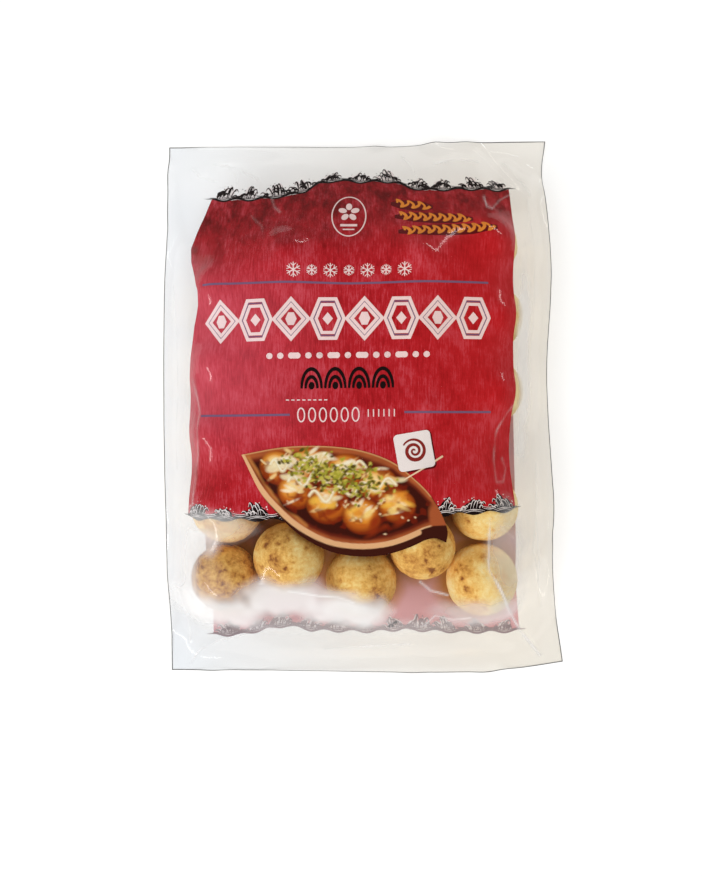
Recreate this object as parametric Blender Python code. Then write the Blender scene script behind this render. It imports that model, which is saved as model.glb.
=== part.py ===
"""A sealed clear pouch of frozen takoyaki, lying flat on its back, as one closed solid.

Metres, +Z up. +X runs across the pouch, +Y towards its top seal, and the printed side faces up.
The origin is under the middle of the pouch, on the surface that it lies on. The balls lie in one
layer, in columns that alternate, and the film is drawn over them down to a flat sealed margin.
"""

import math

import bmesh
import bpy
from mathutils import Vector

# The balls inside
BALLS_ACROSS = 5
BALLS_ALONG = 5
BALL_RADIUS = 0.0172
COLUMN_PITCH = 0.0316
ROW_PITCH = 0.0350
FIRST_BALL = Vector((-0.0680, -0.0840))  # centre of the ball nearest the bottom left corner
ODD_COLUMN_SHIFT = 0.0130  # every second column sits this much nearer the top seal
ODD_COLUMN_LIFT = 0.0060  # and rides this much higher, wedged between its neighbours

# The cut edge of the pouch, seen from above: each side's points run left to right or bottom to top
BOTTOM_LEFT = (-0.0976, -0.1331)
BOTTOM_RIGHT = (0.0999, -0.1290)
TOP_LEFT = (-0.0989, 0.1309)
TOP_RIGHT = (0.0911, 0.1340)
BOTTOM_SIDE = (BOTTOM_LEFT, (-0.0480, -0.1334), (0.0320, -0.1340), (0.0720, -0.1329), BOTTOM_RIGHT)
TOP_SIDE = (TOP_LEFT, (-0.0500, 0.1313), (0.0150, 0.1314), (0.0450, 0.1334), TOP_RIGHT)
LEFT_SIDE = (BOTTOM_LEFT, (-0.0985, -0.0640), (-0.0999, 0.0140), (-0.0994, 0.0900), TOP_LEFT)
RIGHT_SIDE = (BOTTOM_RIGHT, (0.0933, -0.0800), (0.0935, -0.0460), (0.0897, 0.0150),
              (0.0924, 0.0690), (0.0892, 0.1170), TOP_RIGHT)

# The sealed margin
MARGIN_THICKNESS = 0.0010
CORNER_HEIGHT = 0.0030  # middle of the margin above the table, at the drooping corners
MARGIN_LIFT = 0.0060  # how much the full middle of the pouch lifts it
RIPPLE_HEIGHT = 0.0012
RIPPLES_ACROSS = 3.5
RIPPLE_FADE = 0.030  # the ripple dies out this far in from the top and bottom seals

# The film over the balls: how far in from each seal it reaches its full height or depth
SEAL_AT_SIDES = 0.0040
SEAL_AT_BOTTOM = 0.0160
SEAL_AT_TOP = 0.0190
RISE_AT_SIDES = 0.0270
RISE_AT_BOTTOM = 0.0330
RISE_AT_TOP = 0.0460
FALL_SHARE = 0.62  # the underside reaches the table in this share of the rise
DOME_RADIUS = 0.034  # how bluntly the taut film rounds over each ball
DOME_BLEND = 0.0022  # how softly one dome runs into the next
FILM_GAP = 0.0004  # between a ball's top and the film's outside

# Fineness of the solid
STEPS_ACROSS = 34
STEPS_ALONG = 44

FILM_COLOUR = (0.86, 0.85, 0.83, 1.0)
PRINT_COLOUR = (0.45, 0.020, 0.035, 1.0)
PRINT_LEFT = -0.084
PRINT_RIGHT = 0.072
PRINT_BOTTOM = -0.052
PRINT_TOP = 0.107


def ball_centres():
    """Centres of the balls, column by column."""
    centres = []
    for column in range(BALLS_ACROSS):
        odd = column % 2
        for row in range(BALLS_ALONG):
            x = FIRST_BALL.x + column * COLUMN_PITCH
            y = FIRST_BALL.y + row * ROW_PITCH + odd * ODD_COLUMN_SHIFT
            centres.append(Vector((x, y, BALL_RADIUS + odd * ODD_COLUMN_LIFT)))
    return centres


BALL_CENTRES = ball_centres()


def along_side(points, t):
    """Point at share t along a side: a Catmull-Rom curve through its points, spaced by distance."""
    points = [Vector(p) for p in points]
    gaps = [(b - a).length for a, b in zip(points, points[1:])]
    target = t * sum(gaps)
    index = 0
    while index < len(gaps) - 1 and target > gaps[index]:
        target -= gaps[index]
        index += 1
    s = target / gaps[index]
    start, end = points[index], points[index + 1]
    before = points[index - 1] if index > 0 else start * 2 - end
    after = points[index + 2] if index + 2 < len(points) else end * 2 - start
    return (
        start * 2
        + (end - before) * s
        + (before * 2 - start * 5 + end * 4 - after) * s**2
        + (start * 3 - before - end * 3 + after) * s**3
    ) / 2


def on_sheet(u, v):
    """Where a point of the flat sheet lies, seen from above: a Coons patch between the four sides."""
    across = along_side(BOTTOM_SIDE, u) * (1 - v) + along_side(TOP_SIDE, u) * v
    along = along_side(LEFT_SIDE, v) * (1 - u) + along_side(RIGHT_SIDE, v) * u
    corners = (
        (Vector(BOTTOM_LEFT) * (1 - u) + Vector(BOTTOM_RIGHT) * u) * (1 - v)
        + (Vector(TOP_LEFT) * (1 - u) + Vector(TOP_RIGHT) * u) * v
    )
    return across + along - corners


def ease(share):
    """0 at the seal, 1 where the film levels out."""
    return math.sin(math.pi / 2 * min(max(share, 0.0), 1.0))


def fullness(u, v, reach):
    """How far the film has left the margin, from 0 at the seals to 1, with reach a share of the rise."""
    width = (Vector(BOTTOM_RIGHT) - Vector(BOTTOM_LEFT)).length
    length = (Vector(TOP_LEFT) - Vector(BOTTOM_LEFT)).length
    return (
        ease((u * width - SEAL_AT_SIDES) / (RISE_AT_SIDES * reach))
        * ease(((1 - u) * width - SEAL_AT_SIDES) / (RISE_AT_SIDES * reach))
        * ease((v * length - SEAL_AT_BOTTOM) / (RISE_AT_BOTTOM * reach))
        * ease(((1 - v) * length - SEAL_AT_TOP) / (RISE_AT_TOP * reach))
    )


def margin_height(u, v):
    """Height of the middle of the margin: lowest at the corners, rippled along the end seals."""
    lifted = 1 - ((2 * u - 1) * (2 * v - 1)) ** 4
    from_end = min(v, 1 - v) * (TOP_LEFT[1] - BOTTOM_LEFT[1])
    ripple = RIPPLE_HEIGHT * math.sin(2 * math.pi * RIPPLES_ACROSS * u) * max(0, 1 - from_end / RIPPLE_FADE)
    return CORNER_HEIGHT + MARGIN_LIFT * lifted + ripple * math.sin(math.pi * u)


def crown_height(x, y):
    """Height of taut film over the balls: a soft maximum of one blunt dome for each ball."""
    total = 0.0
    for centre in BALL_CENTRES:
        apart = (Vector((x, y)) - centre.xy).length
        dome = centre.z + BALL_RADIUS + FILM_GAP - apart**2 / (2 * DOME_RADIUS)
        total += math.exp(dome / DOME_BLEND)
    return DOME_BLEND * math.log(total)


def front_height(x, y, u, v):
    edge = margin_height(u, v) + MARGIN_THICKNESS / 2
    return edge + (crown_height(x, y) - edge) * fullness(u, v, 1.0)


def back_height(u, v):
    edge = margin_height(u, v) - MARGIN_THICKNESS / 2
    return edge * (1 - fullness(u, v, FALL_SHARE))


def principled(name, colour, roughness):
    material = bpy.data.materials.new(name)
    material.use_nodes = True
    shader = material.node_tree.nodes["Principled BSDF"]
    shader.inputs["Base Color"].default_value = colour
    shader.inputs["Roughness"].default_value = roughness
    shader.inputs["Metallic"].default_value = 0.0
    return material


def is_printed(face):
    """True where the red print covers the front."""
    middle = face.calc_center_median()
    return (
        face.normal.z > 0
        and PRINT_LEFT < middle.x < PRINT_RIGHT
        and PRINT_BOTTOM < middle.y < PRINT_TOP
    )


def pouch_mesh():
    """Two grids, the front and the back, joined round their cut edge."""
    work = bmesh.new()
    bmesh.ops.create_grid(work, x_segments=STEPS_ACROSS, y_segments=STEPS_ALONG, size=0.5)
    front = list(work.verts)
    sheet = {vert: (vert.co.x + 0.5, vert.co.y + 0.5) for vert in front}
    copy = bmesh.ops.duplicate(work, geom=work.verts[:] + work.edges[:] + work.faces[:])
    twin = copy["vert_map"]
    for vert in front:
        u, v = sheet[vert]
        x, y = on_sheet(u, v)
        vert.co = (x, y, front_height(x, y, u, v))
        twin[vert].co = (x, y, back_height(u, v))
    back_faces = [item for item in copy["geom"] if isinstance(item, bmesh.types.BMFace)]
    bmesh.ops.reverse_faces(work, faces=back_faces)
    rim = [edge for edge in work.edges if edge.is_boundary]
    bmesh.ops.bridge_loops(work, edges=rim)
    bmesh.ops.recalc_face_normals(work, faces=work.faces)
    for face in work.faces:
        face.smooth = True
        face.material_index = 1 if is_printed(face) else 0
    mesh = bpy.data.meshes.new("sealed_bag")
    work.to_mesh(mesh)
    work.free()
    return mesh


def build():
    for obj in list(bpy.data.objects):
        bpy.data.objects.remove(obj, do_unlink=True)
    collection = bpy.data.collections.new("takoyaki_bag")
    bpy.context.scene.collection.children.link(collection)
    mesh = pouch_mesh()
    mesh.materials.append(principled("clear_film", FILM_COLOUR, 0.25))
    mesh.materials.append(principled("red_print", PRINT_COLOUR, 0.35))
    mesh.set_sharp_from_angle(angle=math.radians(50))
    collection.objects.link(bpy.data.objects.new("sealed_bag", mesh))


build()
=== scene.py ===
"""Looks of a sealed clear pouch of frozen takoyaki, lying flat with its printed side up.

The film is two sheets of stiff plastic, let down over the balls and the table and sealed round
their edges. Everything on it is worked out in the flat sheet's own millimetres (across, along),
from the middle of the sheet, and then laid on the settled film. World sizes are millimetres too,
up to the moment a mesh is made. The points of an edge run left to right or bottom to top.
"""

import math

import bmesh
import bpy
import numpy as np
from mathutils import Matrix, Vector
from mathutils.geometry import delaunay_2d_cdt


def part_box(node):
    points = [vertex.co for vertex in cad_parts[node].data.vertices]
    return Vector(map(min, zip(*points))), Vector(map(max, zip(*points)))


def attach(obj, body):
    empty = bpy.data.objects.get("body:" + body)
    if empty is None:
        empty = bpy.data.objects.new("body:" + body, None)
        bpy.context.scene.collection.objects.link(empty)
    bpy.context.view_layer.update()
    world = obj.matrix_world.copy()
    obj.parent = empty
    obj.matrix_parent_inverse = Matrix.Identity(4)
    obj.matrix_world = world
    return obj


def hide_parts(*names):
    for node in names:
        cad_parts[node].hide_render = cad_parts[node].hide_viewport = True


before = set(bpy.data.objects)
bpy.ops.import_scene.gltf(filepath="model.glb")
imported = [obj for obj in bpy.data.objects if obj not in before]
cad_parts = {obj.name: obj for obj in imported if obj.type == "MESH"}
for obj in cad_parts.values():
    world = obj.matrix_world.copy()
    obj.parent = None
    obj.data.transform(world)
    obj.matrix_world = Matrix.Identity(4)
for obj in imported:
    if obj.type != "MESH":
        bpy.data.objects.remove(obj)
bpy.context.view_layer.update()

MM = 0.001
BAG = "sealed_bag"
FRONT = 0
BACK = 1

# The cut edge, seen from above
BOTTOM_LEFT = (-97.6, -133.1)
BOTTOM_RIGHT = (99.9, -129)
TOP_LEFT = (-98.9, 130.9)
TOP_RIGHT = (91.1, 134)
BOTTOM_SIDE = (BOTTOM_LEFT, (-48, -133.4), (32, -134), (72, -132.9), BOTTOM_RIGHT)
TOP_SIDE = (TOP_LEFT, (-50, 131.3), (15, 131.4), (45, 133.4), TOP_RIGHT)
LEFT_SIDE = (BOTTOM_LEFT, (-98.5, -64), (-99.9, 14), (-99.4, 90), TOP_LEFT)
RIGHT_SIDE = (BOTTOM_RIGHT, (93.3, -80), (93.5, -46), (89.7, 15), (92.4, 69), (89.2, 117), TOP_RIGHT)

# The film as it was cut, before it was filled
SHEET_WIDTH = 196
SHEET_LENGTH = 276
SEAL_AT_SIDES = 5
SEAL_AT_ENDS = 10
FILM_HALF = 0.06  # half the gap between the two sheets where they are sealed
TABLE_CLEARANCE = 0.02

# The balls inside
BALL_RADIUS = 17.2
COLUMN_PITCH = 31.6
ROW_PITCH = 35
FIRST_BALL = (-68, -84)
ODD_COLUMN_SHIFT = 13
ODD_COLUMN_LIFT = 6
BALLS_ACROSS = 5
BALLS_ALONG = 5
BALL_JITTER = 0.9
RADIUS_JITTER = 0.35
# (column, row): nudge across, nudge along and radius, for the balls that show
WINDOW_BALLS = {
    (0, 0): (0.4, 1.2, 16.5),
    (1, 0): (-1.6, -2.8, 17.2),
    (2, 0): (2.6, -1, 17.6),
    (3, 0): (1.2, 3.1, 16),
    (4, 0): (-2.6, 0, 17.5),
    (0, 1): (1.6, 0.2, 18),
    (4, 1): (-0.7, -0.9, 17.2),
    (4, 2): (1.2, 21, 17.2),
    (4, 3): (1.6, 22, 17.2),
    (4, 4): (-3, 21, 17),
}
BALL_GAP = 0.1  # the least between two balls
PARTING_ROUNDS = 80
PARTING_SHARE = 0.4  # of an overlap, taken away in each round
BALL_CLEARANCE = 0.3  # between a ball and the table
FILM_GAP = 0.4  # the film keeps this far from a ball, so that its inks clear the crust

# The film's first shape: (how far in from the seal it starts to rise, over what distance)
SIDE_RISE = (4, 27)
BOTTOM_RISE = (16, 33)
TOP_RISE = (19, 46)
FALL_SHARE = 0.62  # the underside reaches the table in this share of the rise
CORNER_HEIGHT = 3
MARGIN_LIFT = 6
DOME_RADIUS = 34  # how bluntly the film rounds over each ball
UNEVENNESS = (0.5, 9)  # height and size of the noise that lets the film buckle

# How the film settles; speeds are millimetres a round
SIM_STEP = 2.5  # spacing of the film's nodes
SIM_ROUNDS = 420
ROUNDS_PER_SEARCH = 15  # between searches for each node's nearest balls
SHEAR_STIFFNESS = 0.5
BEND_STIFFNESS = 0.3
SINK = 0.010  # pull of gravity
PUFF = 0.0105  # push of the air inside
TOP_SPEED = 2
SOFTENING = 3
SLOWING = 0.97
EDGE_HOLD = 0.3
CONTACT_GRIP = 0.3
TABLE_GAP = 0.15
SHEETS_GAP = 0.3
TINY = 1e-9


# Curves and noise


def lengths(vectors):
    return np.linalg.norm(vectors, axis=-1)


def through(points, share):
    """Points at the given shares of a Catmull-Rom curve through the points, spaced by distance."""
    points = np.asarray(points, float)
    gaps = lengths(np.diff(points, axis=0))
    reached = np.concatenate([[0.0], np.cumsum(gaps)])
    target = np.asarray(share, float) * reached[-1]
    span = np.clip(np.searchsorted(reached, target, side="right") - 1, 0, len(gaps) - 1)
    s = ((target - reached[span]) / gaps[span])[..., None]
    padded = np.vstack([2 * points[0] - points[1], points, 2 * points[-1] - points[-2]])
    before, start, end, after = (padded[span + k] for k in range(4))
    return (
        2 * start
        + (end - before) * s
        + (2 * before - 5 * start + 4 * end - after) * s**2
        + (3 * start - before - 3 * end + after) * s**3
    ) / 2


def value_noise(points, size, seed):
    """Smooth noise from -1 to 1 at 2-D or 3-D points, with features of the given size."""
    points = np.asarray(points, float) / size
    cell = np.floor(points).astype(np.int64)
    part = points - cell
    part = part * part * (3 - 2 * part)
    dims = points.shape[-1]
    total = np.zeros(points.shape[:-1])
    for corner in range(2**dims):
        offset = np.array([(corner >> k) & 1 for k in range(dims)])
        key = cell + offset
        mixed = np.full(key.shape[:-1], seed * 7919 + 17, np.int64)
        for k, prime in zip(range(dims), (73856093, 19349663, 83492791)):
            mixed = (mixed ^ (key[..., k] * prime)) * 1000003
            mixed &= 0x7FFFFFFF
        mixed ^= mixed >> 13
        mixed = (mixed * 1274126177) & 0x7FFFFFFF
        weight = np.prod(np.where(offset == 1, part, 1 - part), axis=-1)
        total += weight * (mixed / 0x3FFFFFFF - 1)
    return total


def layered_noise(points, layers, shift=0):
    """Sum of several layers of noise, each a (height, size, seed); shift changes every seed."""
    return sum(height * value_noise(points, size, seed + shift) for height, size, seed in layers)


def distance_to_line(flat, line):
    """Distance of each flat point from a polyline."""
    best = np.full(len(flat), np.inf)
    for start, end in zip(line[:-1], line[1:]):
        start, end = np.asarray(start, float), np.asarray(end, float)
        run = end - start
        share = np.clip(((flat - start) @ run) / (run @ run), 0, 1)
        best = np.minimum(best, lengths(flat - start - share[:, None] * run))
    return best


# The balls' places


def settled_balls():
    """Centres and radii: columns that alternate, jittered and then pushed apart until they clear."""
    rng = np.random.default_rng(11)
    centres = []
    radii = []
    for column in range(BALLS_ACROSS):
        odd = column % 2
        for row in range(BALLS_ALONG):
            nudge = rng.uniform(-BALL_JITTER, BALL_JITTER, 2)
            radius = BALL_RADIUS + rng.uniform(-RADIUS_JITTER, RADIUS_JITTER)
            if (column, row) in WINDOW_BALLS:
                *nudge, radius = WINDOW_BALLS[column, row]
            x = FIRST_BALL[0] + column * COLUMN_PITCH + nudge[0]
            y = FIRST_BALL[1] + row * ROW_PITCH + odd * ODD_COLUMN_SHIFT + nudge[1]
            centres.append((x, y, radius + odd * ODD_COLUMN_LIFT))
            radii.append(radius)
    centres = np.array(centres)
    radii = np.array(radii)
    for _ in range(PARTING_ROUNDS):
        apart = centres[:, None] - centres[None]
        distance = lengths(apart) + np.eye(len(centres))
        overlap = np.maximum(radii[:, None] + radii[None] + BALL_GAP - distance, 0)
        np.fill_diagonal(overlap, 0)
        centres += PARTING_SHARE * (apart / distance[..., None] * overlap[..., None]).sum(1)
        centres[:, 2] = np.maximum(centres[:, 2], radii + BALL_CLEARANCE)
    return centres, radii


# The film let down over them


def outline_grid(shares_across, shares_along):
    """A Coons patch between the four sides of the cut edge."""
    u = shares_across[None, :, None]
    v = shares_along[:, None, None]
    bottom = through(BOTTOM_SIDE, shares_across)[None]
    top = through(TOP_SIDE, shares_across)[None]
    left = through(LEFT_SIDE, shares_along)[:, None]
    right = through(RIGHT_SIDE, shares_along)[:, None]
    corners = (
        (np.array(BOTTOM_LEFT) * (1 - u) + np.array(BOTTOM_RIGHT) * u) * (1 - v)
        + (np.array(TOP_LEFT) * (1 - u) + np.array(TOP_RIGHT) * u) * v
    )
    return bottom * (1 - v) + top * v + left * (1 - u) + right * u - corners


def fullness(u, v, reach):
    """How far the film has left the margin, from 0 at the seals to 1, its rises scaled by reach."""
    full = 1
    for share, length, (start, rise) in (
        (u, SHEET_WIDTH, SIDE_RISE),
        (1 - u, SHEET_WIDTH, SIDE_RISE),
        (v, SHEET_LENGTH, BOTTOM_RISE),
        (1 - v, SHEET_LENGTH, TOP_RISE),
    ):
        risen = np.clip((share * length - start) / (rise * reach), 0, 1)
        full = full * np.sin(np.pi / 2 * risen)
    return full


def first_guess(plan, u, v, centres, radii):
    """The film before it settles: a cushion over the balls, as the solid part has it."""
    edge = CORNER_HEIGHT + MARGIN_LIFT * (1 - ((2 * u - 1) * (2 * v - 1)) ** 4)
    squared = ((plan[..., None, :] - centres[:, :2]) ** 2).sum(-1)
    crown = (centres[:, 2] + radii + FILM_GAP - squared / (2 * DOME_RADIUS)).max(-1)
    front = edge + SHEETS_GAP + (crown - edge) * fullness(u, v, 1)
    back = edge * (1 - fullness(u, v, FALL_SHARE))
    height, size = UNEVENNESS
    uneven = height * value_noise(plan, size, 4)
    return np.stack([np.dstack([plan, front + uneven]), np.dstack([plan, back + uneven[::-1]])])


def links_of(film, step_a, step_b):
    """(near, far, rest, stiffness) for every family of links, as views into the film's nodes."""
    links = []
    slant = math.hypot(step_a, step_b)
    for k in (0, 1):
        links += [
            (film[:, :, k:-1:2], film[:, :, k + 1::2], step_a, 1),
            (film[:, k:-1:2], film[:, k + 1::2], step_b, 1),
            (film[:, :-1, k:-1:2], film[:, 1:, k + 1::2], slant, SHEAR_STIFFNESS),
            (film[:, 1:, k:-1:2], film[:, :-1, k + 1::2], slant, SHEAR_STIFFNESS),
        ]
    for k in range(4):
        for nodes, step in ((film, step_a), (film.swapaxes(1, 2), step_b)):
            near, far = nodes[:, :, k:-2:4], nodes[:, :, k + 2::4]
            count = min(near.shape[2], far.shape[2])
            links.append((near[:, :, :count], far[:, :, :count], 2 * step, BEND_STIFFNESS))
    return links


def draw_together(near, far, rest, stiffness):
    """Moves the two ends of each link half way each towards its rest length."""
    gap = far - near
    length = np.sqrt((gap * gap).sum(-1, keepdims=True)) + TINY
    step = gap * (0.5 * stiffness * (length - rest) / length)
    near += step
    far -= step


def outward(film):
    """Unit normals of both sheets, pointing out of the pouch."""
    normal = np.cross(np.gradient(film, axis=2), np.gradient(film, axis=1))
    normal /= np.linalg.norm(normal, axis=-1, keepdims=True) + TINY
    normal[BACK] *= -1
    return normal


def push_off(film, centres, radii):
    """Moves each node out of its own ball, and says which nodes were in one."""
    away = film - centres
    length = lengths(away) + TINY
    depth = np.maximum(radii + FILM_GAP - length, 0)
    film += away * (depth / length)[..., None]
    return (depth > 0)[..., None]


def soften(film):
    """Evens each node with its neighbours, first along the sheet and then across it."""
    for nodes in (film, film.swapaxes(1, 2)):
        nodes[:, 1:-1] = (nodes[:, :-2] + 2 * nodes[:, 1:-1] + nodes[:, 2:]) / 4


def settled_film(centres, radii):
    """Both sheets' nodes, (2, along, across, 3), after the film has come to rest on everything."""
    across = round(SHEET_WIDTH / SIM_STEP) + 1
    along = round(SHEET_LENGTH / SIM_STEP) + 1
    share_a = np.linspace(0, 1, across)
    share_b = np.linspace(0, 1, along)
    u, v = np.meshgrid(share_a, share_b)
    plan = outline_grid(share_a, share_b)
    film = first_guess(plan, u, v, centres, radii)
    from_side = np.minimum(u, 1 - u) * SHEET_WIDTH
    from_end = np.minimum(v, 1 - v) * SHEET_LENGTH
    sealed = (from_side < SEAL_AT_SIDES) | (from_end < SEAL_AT_ENDS)
    rim = (from_side == 0) | (from_end == 0)
    links = links_of(film, SHEET_WIDTH / (across - 1), SHEET_LENGTH / (along - 1))
    speed = np.zeros_like(film)
    for turn in range(SIM_ROUNDS):
        if turn % ROUNDS_PER_SEARCH == 0:
            distance = ((film[..., None, :] - centres) ** 2).sum(-1)
            nearest = np.argsort(distance, axis=-1)
        speed *= SLOWING
        speed[..., 2] -= SINK
        speed += PUFF * outward(film) * ~sealed[None, :, :, None]
        before = film.copy()
        film += speed
        for link in links:
            draw_together(*link)
        film[:, rim, :2] += EDGE_HOLD * (plan[rim] - film[:, rim, :2])
        film[:, sealed] = film[:, sealed].mean(0)
        squeeze = np.maximum(SHEETS_GAP - (film[FRONT, ..., 2] - film[BACK, ..., 2]), 0) / 2
        squeeze *= ~sealed
        film[FRONT, ..., 2] += squeeze
        film[BACK, ..., 2] -= squeeze
        for k in (0, 1):
            ball = nearest[..., k]
            touching = push_off(film, centres[ball], radii[ball])
            film -= CONTACT_GRIP * (film - before) * touching
        film[..., 2] = np.maximum(film[..., 2], TABLE_GAP)
        speed = np.clip(film - before, -TOP_SPEED, TOP_SPEED)
    for _ in range(SOFTENING):
        soften(film)
    for k in (0, 1):
        push_off(film, centres[nearest[..., k]], radii[nearest[..., k]])
    return film


def spline_weights(s):
    """Cubic B-spline weights of the four nodes round a point, and their slopes."""
    value = (
        (1 - s) ** 3 / 6,
        (3 * s**3 - 6 * s**2 + 4) / 6,
        (-3 * s**3 + 3 * s**2 + 3 * s + 1) / 6,
        s**3 / 6,
    )
    slope = (-((1 - s) ** 2) / 2, (3 * s**2 - 4 * s) / 2, (-3 * s**2 + 2 * s + 1) / 2, s**2 / 2)
    return value, slope


class Film:
    """The settled film as a smooth surface that flat sheet coordinates can be laid on."""

    def __init__(self, nodes):
        border = ((0, 0), (1, 1), (1, 1), (0, 0))
        self.nodes = np.pad(nodes, border, mode="reflect", reflect_type="odd")
        self.along, self.across = nodes.shape[1:3]

    def place(self, side, flat, depth=0):
        """World points and outward normals of flat sheet points, depth millimetres inside the film."""
        flat = np.asarray(flat, float)
        a = np.clip(flat[:, 0] / SHEET_WIDTH + 0.5, 0, 1) * (self.across - 1)
        b = np.clip(flat[:, 1] / SHEET_LENGTH + 0.5, 0, 1) * (self.along - 1)
        ia = np.clip(np.floor(a).astype(int), 0, self.across - 2)
        ib = np.clip(np.floor(b).astype(int), 0, self.along - 2)
        value_a, slope_a = spline_weights((a - ia)[:, None])
        value_b, slope_b = spline_weights((b - ib)[:, None])
        point, way_a, way_b = np.zeros((3, len(flat), 3))
        for j in range(4):
            for i in range(4):
                node = self.nodes[side][ib + j, ia + i]
                point += value_b[j] * value_a[i] * node
                way_a += value_b[j] * slope_a[i] * node
                way_b += slope_b[j] * value_a[i] * node
        normal = np.cross(way_a, way_b)
        normal /= np.linalg.norm(normal, axis=1, keepdims=True)
        if side == BACK:
            normal = -normal
        lift = FILM_HALF + relief(side, flat) - depth
        point += normal * np.reshape(lift, (-1, 1))
        lowest = TABLE_CLEARANCE + (depth if side == BACK else 2 * FILM_HALF)
        point[:, 2] = np.maximum(point[:, 2], lowest)
        return point, normal


# Creases and waviness of the film

# Sharp creases of the front sheet: each one's line on the flat sheet, the height of its ridge, how
# far that spreads, and how strongly a painted highlight whitens its ridge
CREASES = (
    (((57.5, -53), (57, -64.8), (55.7, -75.6), (62.6, -90.3), (74.5, -113.5), (86.9, -132.9)), 0.75, 0.9, 1),
    (((57.5, -53), (70.8, -63.8)), 0.5, 0.8, 0.45),
    (((57.5, -53), (73.8, -48.6)), 0.45, 0.8, 0.45),
    (((25, -80), (29.8, -84.8), (37, -87)), 0.5, 0.8, 0.55),
    (((27, -105), (31.7, -98.5), (39.8, -101), (48, -100)), 0.6, 1, 0.6),
    (((-33, -83.5), (-20, -86), (-12, -86.4), (-4.5, -88.6)), 0.6, 1, 0.85),
    (((-88, -134), (-83, -126), (-72, -118), (-55, -110.5)), 0.5, 1.2, 0.4),
    (((-20, -121), (-8, -119), (20.5, -117.5)), 0.4, 1.2, 0.5),
    (((59.4, 98.8), (59.8, 92.2), (61.9, 91)), 0.4, 0.7, 0.35),
    (((61.9, 91), (67.1, 97), (74, 101.7)), 0.3, 0.7, 0.16),
    (((-41, 100), (-39, 94), (-36, 90.5)), 0.4, 0.8, 0.4),
    (((-50, 90), (-44, 83), (-42, 76)), 0.25, 1.4, 0.08),
    (((70.9, -1.4), (64, -13), (62.5, -26.5), (62.8, -37), (66.5, -37), (68.7, -31), (67, -26)),
     0.3, 0.6, 0.22),
    (((-77.3, 12.6), (-74.6, 3.1), (-72.5, -4), (-72.3, -15.5), (-76.1, -29.8), (-77.1, -46.2)),
     0.35, 1.1, 0.3),
    (((38, 121.5), (48, 124), (60, 122.5)), 0.5, 1.6, 0.5),
    (((22, 128), (27, 118), (28, 112)), 0.3, 1.2, 0.3),
    (((-73, 124.5), (-60, 120), (-49, 112)), 0.4, 2, 0.35),
    (((84, 100), (87, 60), (85, 20)), 0.3, 1.6, 0.1),
    (((88, -30), (84, -70), (88, -104)), 0.35, 1.4, 0.25),
    (((-92, 60), (-88, 20), (-90, -30)), 0.3, 1.6, 0.1),
    (((-85, 124), (-79, 117), (-71, 113)), 0.5, 1.4, 0.25),
    (((-66, 123), (-60, 115), (-59, 110)), 0.4, 1.2, 0.2),
    (((75, 123), (79, 113), (86, 103)), 0.5, 1.4, 0.3),
    (((85, -56), (88, -74), (86.5, -92)), 0.4, 1.4, 0.25),
    (((-91, -92), (-86, -108), (-88, -122)), 0.4, 1.4, 0.3),
)
CREASE_WIDTH = 0.5
CREASE_BLUNTNESS = 0.3

# Frost and trapped steam inside the front sheet, partly painted glare and highlights where the film
# catches the light: each cloud's middle, its reach across and along, and how much of the film it covers
FROST_AND_GLARE = (
    ((-70, -96.5), (23, 11), 0.74),
    ((-37, -88.8), (22, 10), 0.78),
    ((-6, -94.5), (17, 9), 0.86),
    ((-72, -84), (14, 12), 0.14),
    ((-80, -84), (6, 19), 0.34),
    ((-67, -54), (17, 7), 0.36),
    ((-73, -63), (8, 6), 0.45),
    ((-81, -68), (6, 12), 0.30),
    ((52, -97), (22, 8), 0.45),
    ((67, -74), (9.5, 22), 0.32),
    ((0, -105), (62, 5.5), 0.20),
    ((-79, -8), (4, 34), 0.12),
    ((79, 24), (4.5, 44), 0.55),
)
FROST_AND_GLARE_EDGE = (1.45, 0.95)  # where a cloud ends, in shares of its reach, and how wide its edge is
# Layers of noise
FROST_AND_GLARE_RAGGEDNESS = ((0.26, 11, 81), (0.10, 4, 82))
RELIEF = ((0.10, 11, 21), (0.03, 4, 31))


def relief(side, flat):
    """Soft unevenness of the film, which the inks follow too."""
    return layered_noise(flat, RELIEF, shift=side)


def crease_height(flat):
    """Height of the front's sharp creases, ragged along their length."""
    height = np.zeros(len(flat))
    strength = 0.75 + 0.35 * value_noise(flat, 7, 71)
    for line, rise, spread, _ in CREASES:
        away = np.sqrt(distance_to_line(flat, line) ** 2 + CREASE_BLUNTNESS**2)
        height += rise * strength * np.exp(-away / spread)
    return height


def frost_and_glare(flat):
    """Share of the film that is whitened: frost, trapped steam and painted glare in patches, and painted
    highlights along the ridges of creases.
    """
    clear = np.ones(len(flat))
    ragged = layered_noise(flat, FROST_AND_GLARE_RAGGEDNESS)
    end, width = FROST_AND_GLARE_EDGE
    for middle, reach, cover in FROST_AND_GLARE:
        away = lengths((flat - middle) / reach) + ragged
        share = np.clip((end - away) / width, 0, 1)
        clear *= 1 - cover * share * share * (3 - 2 * share)
    # painted highlights along the creases' ridges
    along = np.clip(0.65 + 0.6 * value_noise(flat, 6, 83), 0, 1)
    for line, _, _, crease_highlight in CREASES:
        away = distance_to_line(flat, line)
        clear *= 1 - crease_highlight * along * np.exp(-((away / CREASE_WIDTH) ** 2))
    return 1 - clear


balls, ball_radii = settled_balls()
film = Film(settled_film(balls, ball_radii))


# Meshes


def new_piece(name, points, faces, material, flat=None):
    """A mesh object from points in millimetres, with its flat sheet coordinates kept on it."""
    mesh = bpy.data.meshes.new(name)
    points = np.asarray(points, float) * MM
    mesh.from_pydata(points.tolist(), [], [list(face) for face in faces])
    mesh.shade_smooth()
    mesh.materials.append(material)
    if flat is not None:
        sheet = mesh.attributes.new("sheet", "FLOAT_VECTOR", "POINT")
        sheet.data.foreach_set("vector", np.pad(flat, ((0, 0), (0, 1))).ravel())
    piece = bpy.data.objects.new(name, mesh)
    bpy.context.scene.collection.objects.link(piece)
    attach(piece, "root")
    return piece


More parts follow.
